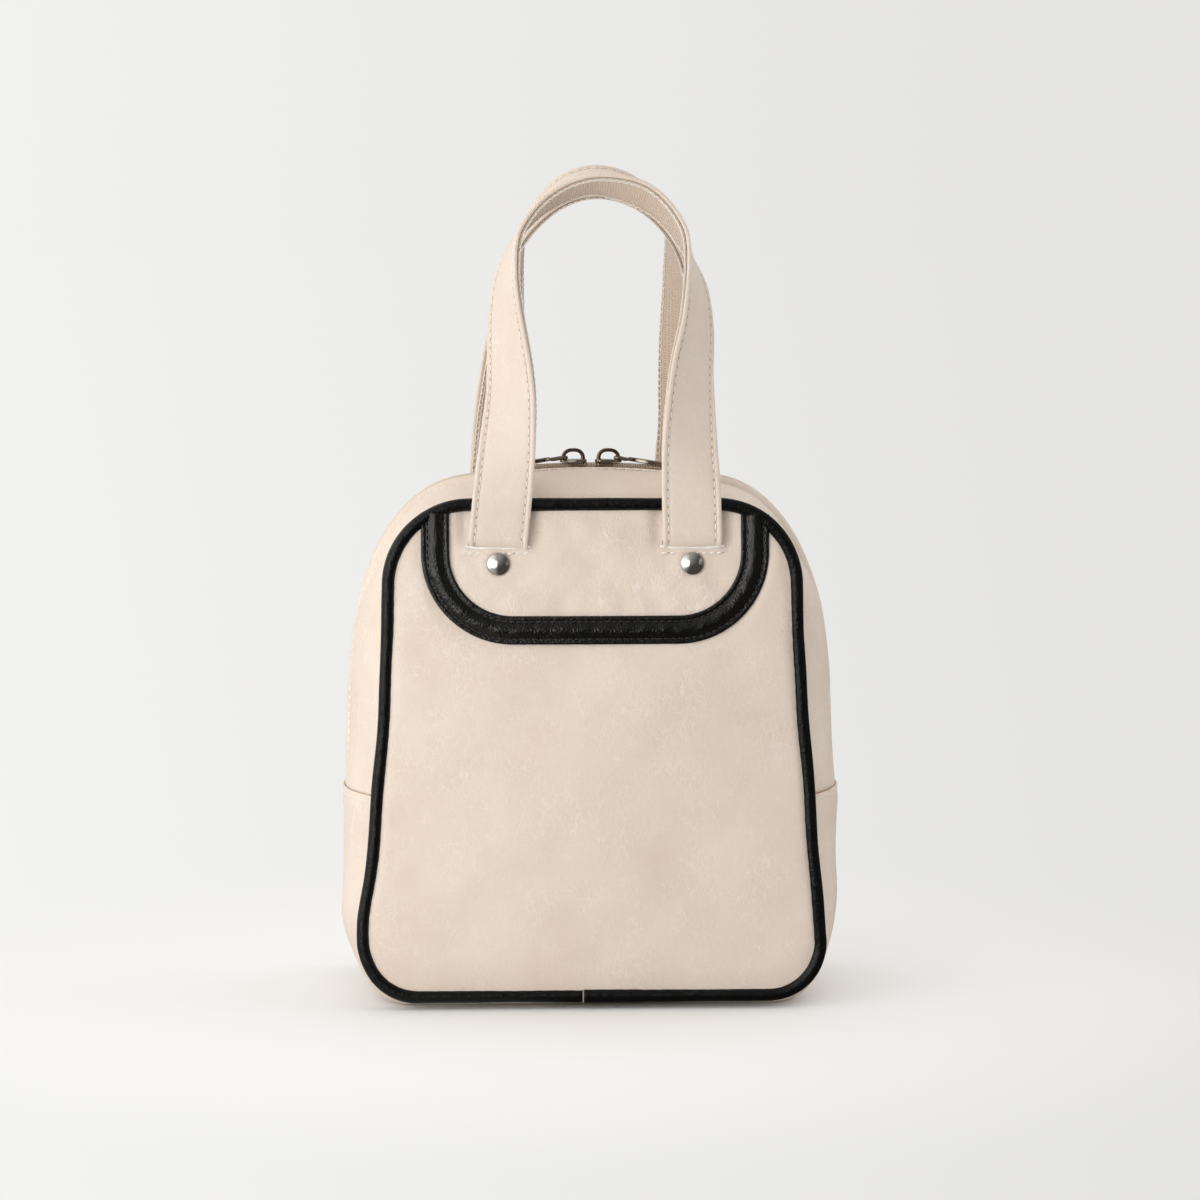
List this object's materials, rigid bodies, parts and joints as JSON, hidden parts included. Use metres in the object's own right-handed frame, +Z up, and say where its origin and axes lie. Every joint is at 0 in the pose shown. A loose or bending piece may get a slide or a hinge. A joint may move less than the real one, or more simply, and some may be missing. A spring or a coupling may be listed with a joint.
{
  "type": "bowler bag",
  "caption": "Small bowler bag with crowned faces, piped edges, a padded U band on each yoke, riveted strap handles and a two-way zip over the top.",
  "frame": {"origin": "on the floor, under the middle of the bag", "axes": "+Z up, +X to the right seen from the front, -Y out of the front face"},
  "size_m": [0.252, 0.1282, 0.4168],
  "materials": {
    "beige_leather": "pale beige, fine creased grain, satin",
    "black_leather": "black, fine grain, satin",
    "filler": "cotton cord",
    "zip_fabric": "beige woven tape",
    "zip_coil": "beige nylon coil",
    "lining": "woven lining",
    "board": "grey board",
    "webbing": "beige woven webbing",
    "nickel": "polished dark nickel"
  },
  "bodies": {
    "bag": {"front_panel": "beige_leather", "back_panel": "beige_leather", "front_yoke": "beige_leather", "back_yoke": "beige_leather", "front_band": "black_leather", "back_band": "black_leather", "front_band_filler": "filler", "back_band_filler": "filler", "front_piping": "black_leather", "back_piping": "black_leather", "front_piping_cord": "filler", "back_piping_cord": "filler", "front_zip_gusset": "beige_leather", "back_zip_gusset": "beige_leather", "bottom_gusset": "beige_leather", "front_zip_tape": "zip_fabric", "back_zip_tape": "zip_fabric", "front_zip_coil": "zip_coil", "back_zip_coil": "zip_coil", "front_lining": "lining", "back_lining": "lining", "base_board": "board", "front_left_strap_end": "beige_leather", "front_right_strap_end": "beige_leather", "back_left_strap_end": "beige_leather", "back_right_strap_end": "beige_leather", "front_left_rivet_cap": "nickel", "front_right_rivet_cap": "nickel", "back_left_rivet_cap": "nickel", "back_right_rivet_cap": "nickel", "front_left_rivet_back": "nickel", "front_right_rivet_back": "nickel", "back_left_rivet_back": "nickel", "back_right_rivet_back": "nickel"},
    "front_handle": {"front_handle_leather": "beige_leather", "front_handle_webbing": "webbing"},
    "back_handle": {"back_handle_leather": "beige_leather", "back_handle_webbing": "webbing"},
    "left_slider": {"left_slider": "nickel", "left_crown": "nickel"},
    "left_pull_link": {"left_pull_link": "nickel"},
    "left_pull_tab": {"left_pull_tab": "nickel"},
    "right_slider": {"right_slider": "nickel", "right_crown": "nickel"},
    "right_pull_link": {"right_pull_link": "nickel"},
    "right_pull_tab": {"right_pull_tab": "nickel"}
  },
  "joints": [
    {"name": "front_handle_fold", "type": "hinge", "parent": "bag", "child": "front_handle", "pos_m": [0, -0.0536, 0.2345], "axis": [1, 0, 0], "range_deg": [0, 158]},
    {"name": "back_handle_fold", "type": "hinge", "parent": "bag", "child": "back_handle", "pos_m": [0, 0.0536, 0.2345], "axis": [-1, 0, 0], "range_deg": [0, 158]},
    {"name": "left_slider_travel", "type": "hinge", "parent": "bag", "child": "left_slider", "pos_m": [0, 0, -0.108], "axis": [0, -1, 0], "range_deg": [0, 7.5]},
    {"name": "right_slider_travel", "type": "hinge", "parent": "bag", "child": "right_slider", "pos_m": [0, 0, -0.108], "axis": [0, 1, 0], "range_deg": [0, 7.5]},
    {"name": "left_link_swing", "type": "hinge", "parent": "left_slider", "child": "left_pull_link", "pos_m": [-0.0114, 0, 0.2695], "axis": [0, 1, 0], "range_deg": [0, 75]},
    {"name": "right_link_swing", "type": "hinge", "parent": "right_slider", "child": "right_pull_link", "pos_m": [0.0114, 0, 0.2695], "axis": [0, -1, 0], "range_deg": [0, 75]},
    {"name": "left_tab_swing", "type": "hinge", "parent": "left_pull_link", "child": "left_pull_tab", "pos_m": [-0.0212, 0, 0.2693], "axis": [0, 1, 0], "range_deg": [0, 30]},
    {"name": "right_tab_swing", "type": "hinge", "parent": "right_pull_link", "child": "right_pull_tab", "pos_m": [0.0212, 0, 0.2693], "axis": [0, -1, 0], "range_deg": [0, 30]}
  ]
}
